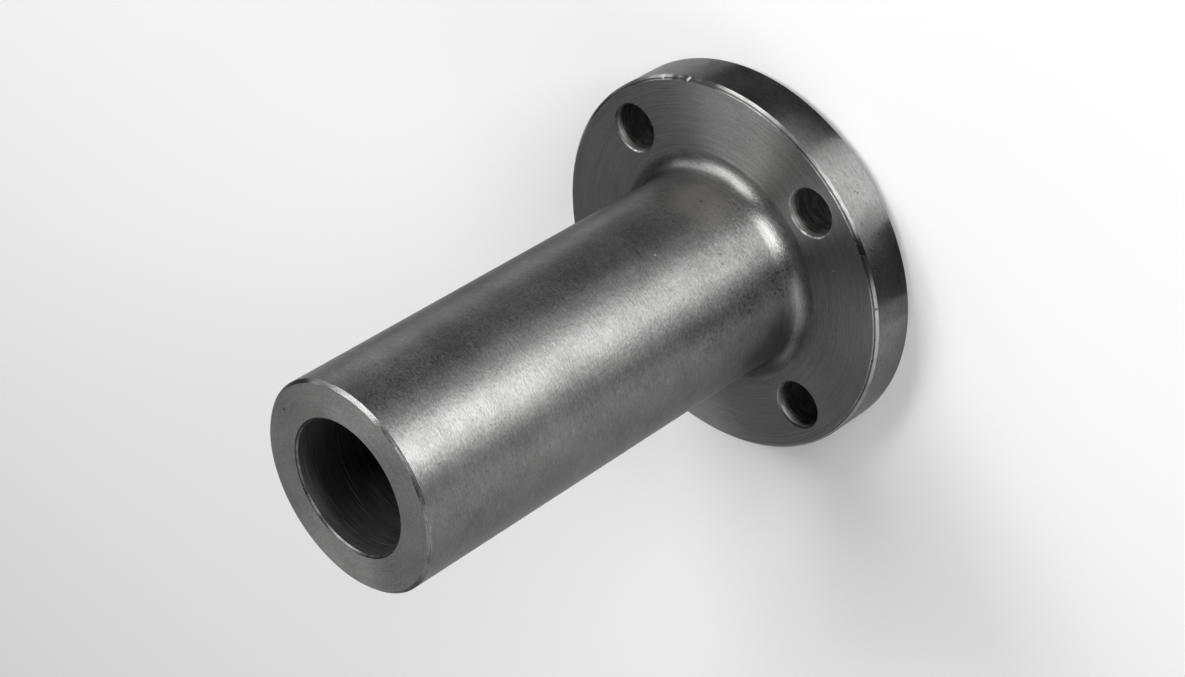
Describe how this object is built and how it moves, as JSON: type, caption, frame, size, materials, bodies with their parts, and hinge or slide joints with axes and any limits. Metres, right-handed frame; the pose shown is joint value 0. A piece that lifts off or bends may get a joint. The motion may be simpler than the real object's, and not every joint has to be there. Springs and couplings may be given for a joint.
{
  "type": "long weld neck flange",
  "caption": "Round bolted flange disc with a raised gasket face, a long straight neck with a square weld end, and a straight through bore.",
  "frame": {"origin": "centre of the raised gasket face, on the bore axis, at the lowest point of the part", "axes": "+Z along the bore axis from the gasket face to the weld end of the neck; the bolt holes straddle X and Y"},
  "size_m": [0.1524, 0.1524, 0.2074],
  "materials": {
    "machined_steel": "bare carbon steel, turned all over, with fine lathe marks and a thin film of oil"
  },
  "bodies": {
    "root": {"weld_neck_flange": "machined_steel"}
  },
  "joints": []
}
